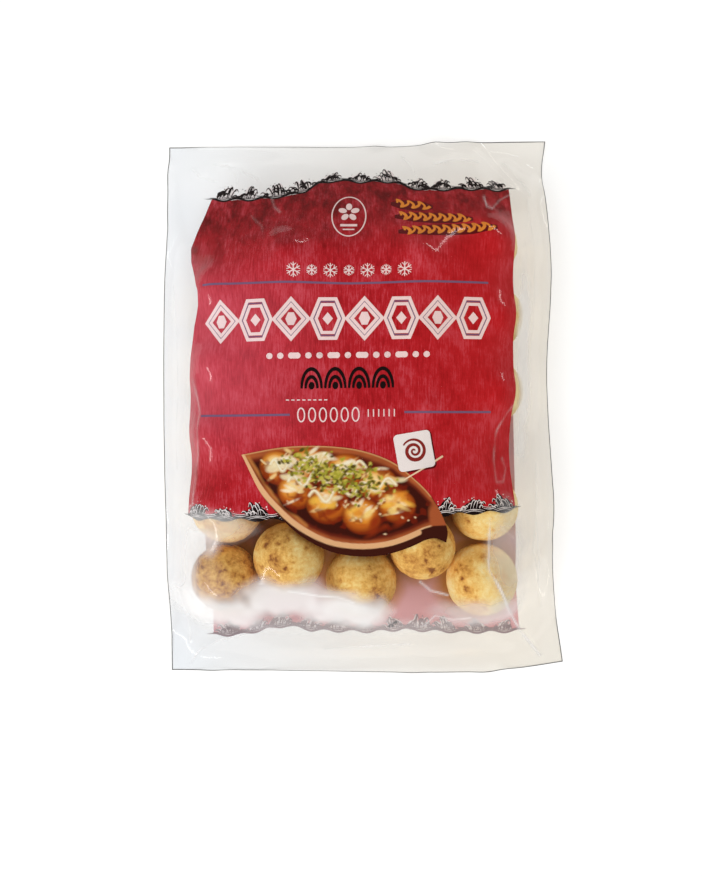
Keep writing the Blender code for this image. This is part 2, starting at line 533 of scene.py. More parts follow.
def give_share(piece, name, values):
    """One number from 0 to 1 for each point, for a material to read."""
    share = piece.data.attributes.new(name, "FLOAT", "POINT")
    share.data.foreach_set("value", np.ascontiguousarray(values, np.float32))


def grid_faces(rows, columns):
    index = np.arange(rows * columns).reshape(rows, columns)
    corners = (index[:-1, :-1], index[:-1, 1:], index[1:, 1:], index[1:, :-1])
    return np.stack(corners, -1).reshape(-1, 4)


# Materials

WHITE = (1, 1, 1, 1)
# Tint of the film: cool at left, darker and warmer at right as painted shade
FILM_TINT_LIT_LEFT = (0.945, 0.956, 0.970, 1)
FILM_TINT_SHADED_RIGHT = (0.942, 0.926, 0.897, 1)
FILM_SHADE_FROM = -95
FILM_SHADE_TO = 60
# white of the frost, of the painted glare and of the painted crease highlights
FILM_WHITENING = (0.84, 0.815, 0.80, 1)
FILM_HAZE = 0.001
FILM_ROUGHNESS = 0.12
FILM_SHINE = 0.035  # mirror reflection of film seen straight on
PAINTED_GLARE_SHARE = 0.28  # painted glare: share of its tint that the film loses above the print
PAINTED_GLARE_SPAN = (98, 118)  # from where to where along the sheet the painted glare comes in
# Noise: its scale, its detail and, unless it is 0.5, its roughness
INK_GRAIN = (0.35, 3)
RED_STREAK = (1.5, 6, 0.72)
RED_CLOUD = (0.05, 5, 0.6)
RED_BLOTCH = (0.12, 7, 0.78)
CRUST_SPECKLE = (560, 5, 0.65)
CRUST_BROAD = (75, 4, 0.6)
# Fades of the red along the sheet: from, to and, unless it is 1, strength
WARM_ACROSS = (0, 70, 0.4)
DIM_UPWARD = (94, 130)
# painted sheen: the red turns pink on its left band, standing for a reflection on the film
PINK_SHEEN_ACROSS = (5, -75)
PINK_SHEEN_BELOW = (75, 45)
PINK_SHEEN_ABOVE = (-40, 5)
INK_ROUGHNESS = 0.6
INK_SPECULAR = 0.03
CRUST_ROUGHNESS = 0.72
CRUST_STOPS = (
    (0.55, (0.96, 0.79, 0.41)),
    (0.80, (0.93, 0.67, 0.25)),
    (1.02, (0.83, 0.48, 0.12)),
    (1.25, (0.56, 0.25, 0.05)),
    (1.40, (0.26, 0.085, 0.02)),
)
RED_STOPS = ((0, (0.27, 0.004, 0.006)), (0.52, (0.49, 0.014, 0.022)), (1, (0.64, 0.085, 0.115)))
WARM_RED = (0.62, 0.014, 0.015, 1)
DIM_RED = (0.12, 0.0022, 0.0022, 1)
# pink of the painted sheen
PINK_SHEEN_RED = (0.68, 0.11, 0.155, 1)
EDGE_DARK = (0.055, 0.052, 0.050, 1)
BACK_PINK = (0.70, 0.40, 0.43, 1)
# gold of the painted bounce light and shade from the balls
BOUNCE_SHADE_GOLD = (0.50, 0.22, 0.06, 1)


class Nodes:
    """The nodes of a material or of the world. Each call adds a node and gives its output."""

    def __init__(self, owner):
        owner.use_nodes = True
        self.tree = owner.node_tree
        self.tree.nodes.clear()

    def add(self, kind, inputs, output=0, **settings):
        """inputs: by name or number, each either a value or another node's output."""
        node = self.tree.nodes.new(kind)
        for key, value in settings.items():
            setattr(node, key, value)
        for key, value in inputs.items():
            if isinstance(value, bpy.types.NodeSocket):
                self.tree.links.new(value, node.inputs[key])
            else:
                node.inputs[key].default_value = value
        return node.outputs[output] if len(node.outputs) else None

    def attribute(self, name, output="Fac"):
        return self.add("ShaderNodeAttribute", {}, output, attribute_name=name)

    def part(self, vector, axis):
        return self.add("ShaderNodeSeparateXYZ", {0: vector}, axis)

    def math(self, operation, *numbers):
        return self.add("ShaderNodeMath", dict(enumerate(numbers)), operation=operation)

    def sum(self, number, weight, other):
        return self.math("MULTIPLY_ADD", number, weight, other)

    def span(self, value, start, end, low=0, high=1, curve="LINEAR"):
        """Takes value from its place between start and end to that between low and high."""
        inputs = {"Value": value, "From Min": start, "From Max": end, "To Min": low, "To Max": high}
        return self.add("ShaderNodeMapRange", inputs, interpolation_type=curve)

    def fade(self, value, start, end, high=1):
        """Eases from 0 at start to high at end."""
        return self.span(value, start, end, 0, high, "SMOOTHSTEP")

    def mix(self, share, first, second):
        inputs = {"Factor": share, "A": first, "B": second}
        return self.add("ShaderNodeMix", inputs, "Result", data_type="RGBA")

    def noise(self, vector, scale, detail, roughness=0.5):
        inputs = {"Vector": vector, "Scale": scale, "Detail": detail, "Roughness": roughness}
        return self.add("ShaderNodeTexNoise", inputs, "Fac")

    def stretch(self, vector, scale, turn=0):
        return self.add("ShaderNodeMapping", {"Vector": vector, "Rotation": (0, 0, turn), "Scale": scale})

    def ramp(self, share, stops):
        """A colour from (position, colour) stops, by share of the last one's position."""
        node = self.tree.nodes.new("ShaderNodeValToRGB")
        self.tree.links.new(share, node.inputs["Fac"])
        places = [position / stops[-1][0] for position, _ in stops]
        elements = node.color_ramp.elements
        elements[0].position = places[0]
        for place in places[1:-1]:
            elements.new(place)
        for element, (_, colour) in zip(elements, stops):
            element.color = (*colour, 1)
        return node.outputs["Color"]

    def blend(self, share, first, second):
        return self.add("ShaderNodeMixShader", {0: share, 1: first, 2: second})

    def surface(self, shader):
        self.add("ShaderNodeOutputMaterial", {"Surface": shader})

    def ink(self, colour):
        """Ends an ink's material. Ink is bonded to the film, so the only gloss over it is the film's."""
        inputs = {"Base Color": colour, "Roughness": INK_ROUGHNESS, "Specular IOR Level": INK_SPECULAR}
        self.surface(self.add("ShaderNodeBsdfPrincipled", inputs))


def new_material(name):
    material = bpy.data.materials.new(name)
    return material, Nodes(material)


def film_material():
    """Thin clear film: slightly tinted, darker and warmer to the right as painted shade, lightened above the
    print as painted glare, glossy, and clouded where its frost_and_glare attribute says.
    """
    material, nodes = new_material("clear_film")
    where = nodes.attribute("sheet", "Vector")
    # painted shade: the tint grows darker and warmer towards the right
    across = nodes.span(nodes.part(where, "X"), FILM_SHADE_FROM, FILM_SHADE_TO)
    tint_and_shade = nodes.mix(across, FILM_TINT_LIT_LEFT, FILM_TINT_SHADED_RIGHT)
    # painted glare: the tint fades towards white above the print
    painted_glare = nodes.fade(nodes.part(where, "Y"), *PAINTED_GLARE_SPAN, PAINTED_GLARE_SHARE)
    clear = nodes.add("ShaderNodeBsdfTransparent", {"Color": nodes.mix(painted_glare, tint_and_shade, WHITE)})
    # whitening: frost, with painted glare and highlights
    whitening = nodes.add("ShaderNodeBsdfDiffuse", {"Color": FILM_WHITENING})
    clouded_share = nodes.math("MAXIMUM", nodes.attribute("frost_and_glare"), FILM_HAZE)
    gloss = nodes.add("ShaderNodeBsdfAnisotropic", {"Color": WHITE, "Roughness": FILM_ROUGHNESS})
    facing = nodes.add("ShaderNodeLayerWeight", {"Blend": 0.5}, "Facing")
    shine = nodes.span(nodes.math("POWER", facing, 5), 0, 1, FILM_SHINE, 1)
    nodes.surface(nodes.blend(shine, nodes.blend(clouded_share, clear, whitening), gloss))
    return material


def ink_material(name, colour, mottle=0.25):
    """Plain ink, a little uneven: mottle is the share by which its brightness varies."""
    material, nodes = new_material(name)
    cloud = nodes.noise(nodes.attribute("sheet", "Vector"), *INK_GRAIN)
    darker = (*(c * (1 - mottle / 2) for c in colour), 1)
    lighter = (*(min(1, c * (1 + mottle / 2)) for c in colour), 1)
    nodes.ink(nodes.mix(cloud, darker, lighter))
    return material


def red_material():
    """Crimson, mottled and finely streaked: darker by the top border, pinker at left as a painted sheen,
    warmer at right.
    """
    material, nodes = new_material("red_print")
    where = nodes.attribute("sheet", "Vector")
    x = nodes.part(where, "X")
    y = nodes.part(where, "Y")
    streak = nodes.noise(nodes.stretch(where, (1, 0.09, 1)), *RED_STREAK)
    cloud = nodes.noise(where, *RED_CLOUD)
    blotch = nodes.noise(nodes.stretch(where, (1, 0.6, 1), turn=0.4), *RED_BLOTCH)
    mottled = nodes.sum(blotch, 0.9, nodes.sum(cloud, 0.7, streak))
    red = nodes.ramp(nodes.span(mottled, 1, 1.57), RED_STOPS)
    red = nodes.mix(nodes.fade(x, *WARM_ACROSS), red, WARM_RED)
    ragged = nodes.sum(cloud, 60, nodes.sum(x, -0.12, y))
    brushed = nodes.span(blotch, 0.60, 0.40, 0.25, 0.95)
    red = nodes.mix(nodes.math("MULTIPLY", nodes.fade(ragged, *DIM_UPWARD), brushed), red, DIM_RED)
    # painted pink sheen on the left band, streaked
    band = nodes.math("MULTIPLY", nodes.fade(y, *PINK_SHEEN_BELOW), nodes.fade(y, *PINK_SHEEN_ABOVE))
    sheen = nodes.math("MULTIPLY", nodes.fade(x, *PINK_SHEEN_ACROSS), band)
    nodes.ink(nodes.mix(nodes.math("MULTIPLY", sheen, streak), red, PINK_SHEEN_RED))
    return material


def back_inside_material():
    """Pale back of the print, with painted bounce light and shade in gold from the balls close by."""
    material, nodes = new_material("back_print_inside")
    nodes.ink(nodes.mix(nodes.attribute("glow"), BACK_PINK, BOUNCE_SHADE_GOLD))
    return material


def dish_material():
    material, nodes = new_material("dish_print")
    nodes.ink(nodes.attribute("ink", "Color"))
    return material


def crust_material():
    """Baked batter: pale gold, browner where the toast_and_painted_light attribute says and paler where it
    paints light, with fine speckle.
    """
    material, nodes = new_material("takoyaki_crust")
    place = nodes.add("ShaderNodeTexCoord", {}, "Object")
    speckle = nodes.noise(place, *CRUST_SPECKLE)
    broad = nodes.noise(place, *CRUST_BROAD)
    brown = nodes.sum(broad, 0.9, nodes.sum(speckle, 0.9, nodes.attribute("toast_and_painted_light")))
    colour = nodes.ramp(nodes.math("DIVIDE", brown, CRUST_STOPS[-1][0]), CRUST_STOPS)
    crust = {"Base Color": colour, "Roughness": CRUST_ROUGHNESS}
    nodes.surface(nodes.add("ShaderNodeBsdfPrincipled", crust))
    return material


def edge_material():
    material, nodes = new_material("cut_edge")
    nodes.surface(nodes.add("ShaderNodeBsdfPrincipled", {"Base Color": EDGE_DARK, "Roughness": 0.5}))
    return material


# Film pieces

FRONT_MESH_STEP = 0.75
BACK_MESH_STEP = 1.4
RIM_WIDTH = 0.40
RIM_LIFT = 0.03
RIM_STEPS = 240  # along each side


def film_sheet(name, side, step, material):
    half_width, half_length = SHEET_WIDTH / 2, SHEET_LENGTH / 2
    across = int(SHEET_WIDTH / step) + 1
    along = int(SHEET_LENGTH / step) + 1
    a, b = np.meshgrid(
        np.linspace(-half_width, half_width, across), np.linspace(-half_length, half_length, along)
    )
    flat = np.column_stack([a.ravel(), b.ravel()])
    points, normals = film.place(side, flat)
    faces = grid_faces(along, across)
    cloud = np.zeros(len(flat))
    if side == FRONT:
        points += normals * crease_height(flat)[:, None]
        cloud = frost_and_glare(flat)
    else:
        faces = faces[:, ::-1]
    piece = new_piece(name, points, faces, material, flat)
    give_share(piece, "frost_and_glare", cloud)
    return piece


def cut_edge():
    """The cut edge of the film, which looks dark because light leaves it sideways."""
    half = np.array((SHEET_WIDTH, SHEET_LENGTH)) / 2
    corners = np.array(((-1, -1), (1, -1), (1, 1), (-1, 1), (-1, -1)))
    share = np.linspace(0, 1, RIM_STEPS, endpoint=False)[:, None]
    around = np.vstack([a * (1 - share) + b * share for a, b in zip(corners[:-1], corners[1:])])
    flat = np.stack([around * half, around * (half - RIM_WIDTH)], 1).reshape(-1, 2)
    points, normals = film.place(FRONT, flat, -RIM_LIFT)
    points += normals * crease_height(flat)[:, None]
    k = np.arange(len(around))
    after = (k + 1) % len(around)
    faces = np.column_stack([2 * k, 2 * after, 2 * after + 1, 2 * k + 1])
    new_piece("cut_edge", points, faces, edge_material(), flat)


clear_film = film_material()
film_front = film_sheet("film_front", FRONT, FRONT_MESH_STEP, clear_film)
film_sheet("film_back", BACK, BACK_MESH_STEP, clear_film)
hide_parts(BAG)
cut_edge()


# Inks: strokes and fields

STROKE_STEP = 0.9  # the longest of any stroke or outline, so that it follows the film's curves
STROKE_LANE = 1.1  # the widest
FIELD_STEP = 1.2

# How far under the film's surface each ink lies
MARK_DEPTH = 0.075
BADGE_DEPTH = 0.105
PICK_DEPTH = 0.130
DISH_DEPTH = 0.160
FOAM_DEPTH = 0.190
DARK_DEPTH = 0.220
WHITE_DEPTH = 0.255
COLOUR_DEPTH = 0.285
SHADOW_DEPTH = 0.320
RED_DEPTH = 0.365
BACK_RED_DEPTH = 0.10
BACK_INSIDE_DEPTH = 0.20
BACK_FOAM_DEPTH = 0.28
BACK_LINES_DEPTH = 0.36


def short_steps(line):
    """The same polyline, corners kept, with no long steps."""
    line = np.asarray(line, float)
    pieces = []
    for start, end in zip(line[:-1], line[1:]):
        count = max(1, math.ceil(lengths(end - start) / STROKE_STEP))
        share = np.arange(count)[:, None] / count
        pieces.append(start * (1 - share) + end * share)
    pieces.append(line[-1:])
    return np.vstack(pieces)


def turned(points, degrees):
    """Points turned about the origin."""
    cos, sin = math.cos(math.radians(degrees)), math.sin(math.radians(degrees))
    x, y = np.asarray(points, float).T
    return np.column_stack([x * cos - y * sin, x * sin + y * cos])


def ellipse(centre, radii, turn=0, count=None):
    """A closed outline; turn is in degrees."""
    count = count or max(10, int(7 * max(radii)))
    angle = np.linspace(0, 2 * np.pi, count, endpoint=False)
    return centre + turned(np.column_stack([radii[0] * np.cos(angle), radii[1] * np.sin(angle)]), turn)


class Ink:
    """Strokes and fields of one ink on the flat sheet, gathered to be laid on the film as one mesh."""

    def __init__(self):
        self.flat = []
        self.faces = []
        self.count = 0

    def take(self, flat, faces):
        self.flat.append(np.asarray(flat, float).reshape(-1, 2))
        self.faces.extend([[i + self.count for i in face] for face in faces])
        self.count += len(self.flat[-1])

    def stroke(self, line, width, closed=False):
        """A ribbon; width is one number, or several that are spread evenly from start to end."""
        line = np.asarray(line, float)
        if closed:
            line = np.vstack([line, line[:1]])
        line = short_steps(line)
        gap = np.diff(line, axis=0)
        run = np.maximum(lengths(gap), 1e-6)
        unit = gap / run[:, None]
        side = np.column_stack([unit[:, 1], -unit[:, 0]])
        first, last = (side[-1:], side[:1]) if closed else (side[:1], side[-1:])
        joint = np.vstack([first, side]) + np.vstack([side, last])
        joint /= np.maximum((joint * joint).sum(1) / 2, 0.5)[:, None]
        share = np.concatenate([[0], np.cumsum(run)]) / run.sum()
        width = np.atleast_1d(width)
        widths = np.interp(share, np.linspace(0, 1, len(width)), width)
        lanes = max(1, math.ceil(widths.max() / STROKE_LANE))
        offset = np.linspace(-0.5, 0.5, lanes + 1)
        flat = line[:, None] + (joint * widths[:, None])[:, None] * offset[None, :, None]
        self.take(flat, grid_faces(len(line), lanes + 1).tolist())

    def fan(self, outline):
        """A small field, closed by triangles from its middle."""
        outline = np.asarray(outline, float)
        count = len(outline)
        triangles = [[0, 1 + k, 1 + (k + 1) % count] for k in range(count)]
        self.take(np.vstack([outline.mean(0)[None], outline]), triangles)

    def disc(self, centre, radius):
        self.fan(ellipse(centre, (radius, radius), count=max(8, int(9 * radius))))

    def field(self, outline):
        """A large field inside an outline, in triangles small enough to follow the film."""
        outline = short_steps(np.vstack([outline, outline[:1]]))[:-1]
        low, high = outline.min(0) + FIELD_STEP / 2, outline.max(0)
        grid = np.stack(np.meshgrid(*(np.arange(low[k], high[k], FIELD_STEP) for k in (0, 1))), -1)
        points = np.vstack([outline, grid.reshape(-1, 2)])
        found = delaunay_2d_cdt([Vector(p) for p in points], [], [list(range(len(outline)))], 1, 1e-5)
        triangles = np.array(found[2])
        used, index = np.unique(triangles, return_inverse=True)
        flat = np.array([found[0][k][:] for k in used])
        self.take(flat, index.reshape(triangles.shape).tolist())

    def lay(self, name, side, depth, material, slot):
        flat = np.vstack(self.flat)
        points, _ = film.place(side, flat, depth)
        faces = self.faces if side == FRONT else [face[::-1] for face in self.faces]
        new_piece(name, points, faces, material, flat)


# The printed panels

# Edges of the front panel, each as (place along it, position). The slack film makes them wander.
PANEL_LEFT = ((-52, -81.6), (-46, -80.6), (-22, -79.1), (13.3, -80), (37.6, -77.2), (47.5, -73.8),
              (54, -73.2), (62, -76.6), (70, -80.4), (78, -82), (90, -77.4), (103, -72))
PANEL_RIGHT = ((-52, 71.4), (0, 72), (22, 73.2), (40, 72.3), (62, 72.5), (75, 72.4), (84.3, 72.7),
               (104.5, 73.8))
PANEL_TOP = ((-80, 104.6), (-72, 103), (-60, 101.4), (-48, 100.2), (-34, 101.2), (-25, 104),
             (-19, 108.6), (-10.9, 110.8), (0, 109.4), (10, 109.6), (17, 109.4), (23.8, 105.6),
             (32.5, 103.6), (52.3, 103.8), (68.2, 104.4), (80, 105.4))
PANEL_BOTTOM = ((-82, -51.6), (-61.5, -50.6), (-34.2, -49.6), (0, -49.4), (35.9, -49), (51.6, -49.2),
                (74.5, -49.8), (80, -49.8))
PANEL_STEP = 1.05

# The back panel reaches further down
BACK_LEFT = ((-125, -76.5), (104, -76.5))
BACK_RIGHT = ((-125, 77), (104, 77))
BACK_TOP = ((-80, 103), (80, 103))
BACK_BOTTOM = ((-88, -120), (-70, -118.4), (-60, -117), (-49.4, -113), (-39.6, -110.8), (-26.8, -113),
               (3.1, -113.8), (18.2, -113), (36, -114.4), (54, -116), (80, -118))
BACK_STEP = 1.6

BOUNCE_REACH = 8  # how far a ball's painted bounce light and shade reach over the print below it
BOUNCE_TOP = -32  # where it has faded out, under the front panel
BOUNCE_FADE = 15  # and over what distance


def edge(points, place):
    """Where an edge lies at each place along it."""
    return np.interp(place, *np.array(points, float).T)


def panel(left, right, bottom, top, step):
    """Flat points and faces of a panel between four wandering edges."""
    columns = int(150 / step) + 1
    rows = int((edge(top, 0) - edge(bottom, 0)) / step) + 1
    s, t = np.meshgrid(np.linspace(0, 1, columns), np.linspace(0, 1, rows))
    a = edge(left, 0) * (1 - s) + edge(right, 0) * s
    for _ in range(3):
        b = edge(bottom, a) * (1 - t) + edge(top, a) * t
        a = edge(left, b) * (1 - s) + edge(right, b) * s
    return np.column_stack([a.ravel(), b.ravel()]), grid_faces(rows, columns)


def lay_panel(name, side, shape, depth, material, inward=False):
    """A panel that faces out of the pouch, or into it; gives its world points too."""
    flat, faces = shape
    points, _ = film.place(side, flat, depth)
    if (side == BACK) != inward:
        faces = faces[:, ::-1]
    return new_piece(name, points, faces, material, flat), points


def ball_bounce_and_shade(points):
    """How strongly the painted bounce light and shade of the balls close by tint each point of the back
    print, inside the window.
    """
    away = lengths(points[:, None, :2] - balls[:, :2]) - ball_radii
    near = np.clip((BOUNCE_REACH - away.min(axis=1)) / BOUNCE_REACH, 0, 1) ** 0.8
    return near * np.clip((BOUNCE_TOP - points[:, 1]) / BOUNCE_FADE, 0, 1)


red_ink = red_material()
back_shape = panel(BACK_LEFT, BACK_RIGHT, BACK_BOTTOM, BACK_TOP, BACK_STEP)
front_shape = panel(PANEL_LEFT, PANEL_RIGHT, PANEL_BOTTOM, PANEL_TOP, PANEL_STEP)
lay_panel("front_panel", FRONT, front_shape, RED_DEPTH, red_ink)
lay_panel("back_panel", BACK, back_shape, BACK_RED_DEPTH, red_ink)
back_inside, inside_points = lay_panel(
    "back_panel_inside", BACK, back_shape, BACK_INSIDE_DEPTH, back_inside_material(), inward=True
)
# painted bounce light and shade from the balls
give_share(back_inside, "glow", ball_bounce_and_shade(inside_points))


# Borders of breaking waves

WAVE_PITCH = 13.4
RIGHTWARD_SHARE = 0.6  # of the crests, that break to the right
HILL_HALF = 6.4
HILL_HEIGHT = 2.5
CLAWS = 6
CLAW_LEAN = np.array((-0.5, 0, 0.9, 1.9, 2.5))
CLAW_RISE = np.array((0.05, 0.45, 0.84, 0.98, 0.70))
CLAW_STEP = 0.4
SOLID_HOOKS = 4
LINE_HOOKS = 10
SPRAY_DROPS = 9
OVERHANG = 4  # of the sea line past a border's ends


def arch(x, half):
    """A half-wave: 1 at the middle, 0 at half either side."""
    return np.cos(x / half * np.pi / 2)


def wave_border(base, ends, seed, dark, white, solid=False, tall=1):
    """A sea line of breaking crests, in curling strokes with spray over them.

    A solid border is black with white foam; any other is black line on white.
    """
    rng = np.random.default_rng(seed)
    start, end = ends
    count = max(1, round((end - start) / WAVE_PITCH))
    pitch = (end - start) / count
    ground, pen = (dark, white) if solid else (white, dark)

    def over(x, h):
        """Flat points h above the sea line at x along it."""
        x = np.asarray(x, float)
        return np.column_stack([x, edge(base, x) + h])

    def claw(middle, half, height, way, root):
        """One curling finger of a crest."""
        root += rng.uniform(-0.6, 0.6)
        rise = height * (0.9 + 5.6 * math.cos(root / half * 1.25) ** 3) * rng.uniform(0.65, 1.1)
        lean = way * rng.uniform(0.5, 1.3)
        bones = over(middle + root + lean * CLAW_LEAN, rise * CLAW_RISE)
        length = lengths(np.diff(bones, axis=0)).sum()
        line = through(bones, np.linspace(0, 1, max(4, int(length / CLAW_STEP))))
        if solid:
            dark.stroke(line, (0.8, 2.2, 1.9, 1, 0.2))
            white.stroke(line[2:] + (0.35 * way, 0.2), (0.1, 0.2, 0.34, 0.32, 0.1))
        else:
            white.stroke(line, (1, 2.2, 2, 1, 0.3))
            dark.stroke(line + (0.3 * way, 0), (0.3, 0.5, rng.uniform(0.4, 1.1), 0.6, 0.1))

    def hook(centre, radius, way):
        """A small curl of foam."""
        angle = np.radians(np.linspace(215, rng.uniform(-110, -30), 13))
        reach = radius * np.linspace(1, 0.45, 13)
        line = centre + np.column_stack([way * reach * np.cos(angle), reach * np.sin(angle)])
        if solid:
            dark.stroke(line + (0.3, -0.2), (0.2, 0.9, 0.8, 0.2))
            white.stroke(line, (0.1, 0.36, 0.32, 0.1))
        else:
            white.disc(centre, 0.9 * radius)
            dark.stroke(line, (0.2, rng.uniform(0.6, 1.7), 0.7, 0.15))

    def crest(middle, size, way):
        half = HILL_HALF * size
        height = tall * size

        def hill(x):
            """Height of the crest's body, from its middle."""
            return height * HILL_HEIGHT * arch(np.clip(x, -half, half), half) ** 1.3

        x = np.linspace(-half, half, 19)
        body = [over(middle + x, hill(x) + 0.1), over(middle - x, -arch(x, half))]
        ground.field(np.vstack(body)[:-1][::-1])
        for k in range(CLAWS):
            claw(middle, half, height, way, half * (-0.62 + 0.22 * k))
        for _ in range(SOLID_HOOKS if solid else LINE_HOOKS):
            root = rng.uniform(-0.85, 0.85)
            radius = height * rng.uniform(0.6, 1.5) * (0.5 + 0.5 * math.cos(root * 1.25))
            lift = hill(root * half) * rng.uniform(0.35, 1.25) + 0.4 * radius
            hook(over([middle + root * half], lift)[0], radius, way)
        for k in range(SPRAY_DROPS):
            place = rng.uniform(-0.8, 0.8) * half
            lift = height * (4.2 * math.cos(place / half * 1.3) + rng.uniform(0.2, 2.6))
            spray = white if solid or k % 4 == 0 else dark
            spray.disc(over([middle + place], lift)[0], rng.uniform(0.13, 0.34))
        for drop in (0.1, 0.75):
            reach = half * (0.62 + 0.2 * drop)
            x = np.linspace(-reach, reach, 13)
            pen.stroke(over(middle + x, drop + 0.9 * arch(x, reach) - 0.75), (0.1, 0.34, 0.1))

    def link(middle):
        """Bowed lines over the trough between two crests."""
        for bow, width in ((0.7, 0.36), (1.5, 0.28)):
            x = np.linspace(-2.2 - bow, 2.2 + bow, 11)
            dip = (x / 3.7) ** 2
            pen.stroke(over(middle + x, bow + 0.9 * dip), (0.1, width, 0.1))
            dark.stroke(over(middle + x, bow - 0.45 + 0.8 * dip), (0.15, 0.5, 0.15))

    for index in range(count):
        middle = start + (index + 0.5) * pitch + rng.uniform(-1.8, 1.8)
        crest(middle, rng.uniform(0.74, 1.2), 1 if rng.uniform() < RIGHTWARD_SHARE else -1)
        if index < count - 1:
            link(start + (index + 1) * pitch)
    low, high = start - OVERHANG, end + OVERHANG
    s = np.arange(low, high + 0.01, 0.5)
    swell = np.sin(np.pi * (s - start) / pitch) ** 2
    inside = np.clip(np.minimum(s - low, high - s) / 5, 0, 1)
    places = (low, start - 1, start + 2, end - 2, end + 1, high)
    taper = np.interp(s, places, (0.1, 0.5, 1, 1, 0.5, 0.1))
    dark.stroke(over(s, 0.35 - 1.5 * swell * inside), taper[::2])
    dark.stroke(over(s[6:-6], 0.9 - swell[6:-6]), (0.2, 0.45, 0.3, 0.45, 0.2))


dark, white, foam, back_dark, back_white = (Ink() for _ in range(5))
wave_border(PANEL_TOP, (-72, 74), 5, dark, white, tall=1.15)
wave_border(PANEL_BOTTOM, (-80.5, 71.5), 8, dark, foam, solid=True)
wave_border(BACK_BOTTOM, (-76, 76.5), 13, back_dark, back_white)
wave_border(BACK_TOP, (-72, 73), 14, back_dark, back_white, tall=0.8)
back_lines_ink = ink_material("back_print_lines", (0.36, 0.29, 0.31))
back_foam_ink = ink_material("back_print_white", (0.74, 0.68, 0.70))
back_dark.lay("back_lines", BACK, BACK_LINES_DEPTH, back_lines_ink, "dark_print")
back_white.lay("back_foam", BACK, BACK_FOAM_DEPTH, back_foam_ink, "white_print")


# Plain shapes on the front

pale, blue, yellow, shadow, badge, mark, pick = (Ink() for _ in range(7))

RHOMBUS = np.array(((0, -1), (1, 0), (0, 1), (-1, 0)))
HEXAGON = np.array(((-0.5, -1), (0.5, -1), (1, 0), (0.5, 1), (-0.5, 1), (-1, 0)))
RING_CENTRE = np.array((-4.1, 87.9))
RING_RADII = (7.7, 11.2)
# Each yellow wave: its start, its end and its beats
YELLOW_WAVES = (((17.4, 95.6), (32.6, 93.2), 3), ((18.9, 87.8), (50, 85.6), 7), ((20.2, 79), (60.2, 80.6), 9))
CRYSTALS = 7
CRYSTALS_FROM = (-28, 60)
CRYSTAL_PITCH = 8.1
FRIEZE_UNITS = 8
FRIEZE_FROM = (-61.4, 38.3)
FRIEZE_PITCH = 16.15
BEADS_FROM = (-40.4, 22)
BEADS = "oo-oo-o-oo-oo"  # a bead or a bar each
BEAD_LENGTH = 2.9
BAR_LENGTH = 5.6
BEAD_RADIUS = 1.4
BEAD_GAP = 2
SCALES = 4
SCALES_FROM = (-20.3, 7.4)
SCALE_PITCH = 10.5


def direction(degrees):
    return np.array((math.cos(math.radians(degrees)), math.sin(math.radians(degrees))))


def blossom_ring():
    """A ring with a plain five-petal blossom over two bars."""
    pale.stroke(ellipse(RING_CENTRE, RING_RADII, count=70), 0.6, closed=True)
    for angle in range(90, 450, 72):
        petal = RING_CENTRE + (0, 2) + (3, 3.3) * direction(angle)
        pale.fan(ellipse(petal, (2, 1.45), turn=angle))
    for half, drop, width in ((3.8, -5.4, 1.3), (2.6, -7.7, 0.7)):
        pale.stroke([RING_CENTRE + (-half, drop), RING_CENTRE + (half, drop)], width)


def yellow_wave(start, end, beats):
    """A row of brush curls over its own dark shadow."""
    start, end = np.array(start), np.array(end)
    run = end - start
    along = run / lengths(run)
    up = np.array((-along[1], along[0]))
    phase = np.linspace(0, beats * 2 * np.pi, 18 * beats)
    line = start + (phase / phase[-1])[:, None] * run
    line += (1.9 * np.sin(phase))[:, None] * up + (0.7 * np.cos(2 * phase))[:, None] * along
    yellow.stroke(line, np.tile((0.9, 1.55), beats))
    shadow.stroke([start + (-2.2, -0.6), end + (2, -0.6)], (2, 5.6, 6.2, 5.6, 2))


def snow_crystal(centre, radius):
    for angle in range(30, 390, 60):
        way = direction(angle)
        across = np.array([-way[1], way[0]])
        pale.stroke([centre, centre + radius * way], (0.55, 0.4))
        root = centre + 0.5 * radius * way
        for side in (-1, 1):
            pale.stroke([root, root + 0.36 * radius * (way + side * across)], 0.34)


def frieze_unit(centre, half, shape, inner):
    """A double-line frame with a small figure in it."""
    pale.stroke(shape * half * 0.93 + centre, 1.5, closed=True)
    blue.stroke(shape * half * 0.795 + centre, 0.5, closed=True)
    pale.stroke(shape * half * 0.66 + centre, 1.4, closed=True)
    pale.field(inner * half * 0.30 + centre)


def beads_and_bars():
    place, height = BEADS_FROM
    for kind in BEADS:
        length = BAR_LENGTH if kind == "-" else BEAD_LENGTH
        half_bar = length / 2 - BEAD_RADIUS
        left, right = (place + length / 2 + side * half_bar for side in (-1, 1))
        if kind == "-":
            pale.stroke([(left, height), (right, height)], 2.6)
        pale.disc((left, height), BEAD_RADIUS)
        pale.disc((right, height), BEAD_RADIUS)
        place += length + BEAD_GAP


def fish_scale(centre):
    for radius in (4.4, 2.6):
        dark.stroke(ellipse(centre, (radius, 1.95 * radius), count=48)[:25], (1, 1.6, 1))
    dark.fan(ellipse(centre + (0, 1.2), (1.3, 1.7)))


